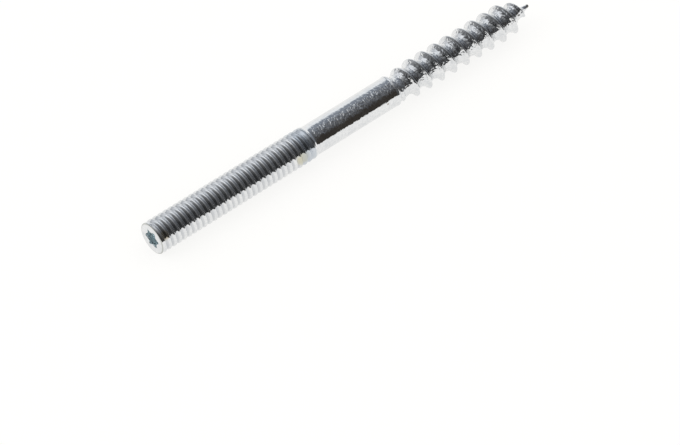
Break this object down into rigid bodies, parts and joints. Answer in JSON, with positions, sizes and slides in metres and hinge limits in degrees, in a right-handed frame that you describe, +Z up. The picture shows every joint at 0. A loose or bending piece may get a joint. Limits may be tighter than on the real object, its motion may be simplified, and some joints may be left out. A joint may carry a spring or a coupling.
{
  "type": "hanger bolt",
  "caption": "Double-ended steel stud: fine machine thread with a star socket in its end, plain shank, and a coarse wood-screw thread with a gimlet point.",
  "frame": {"origin": "Middle of the bolt's bounding box at its lowest point, where it lies on a surface; the bolt's axis is 2.032 mm above it.", "axes": "+X along the bolt from the machine-threaded end to the gimlet point, +Z up, +Y to the side."},
  "size_m": [0.0536, 0.004, 0.0041],
  "materials": {
    "zinc_plated_steel": "bright zinc plate with a fine scratched mottle"
  },
  "bodies": {
    "root": {"hanger_bolt": "zinc_plated_steel"}
  },
  "joints": []
}
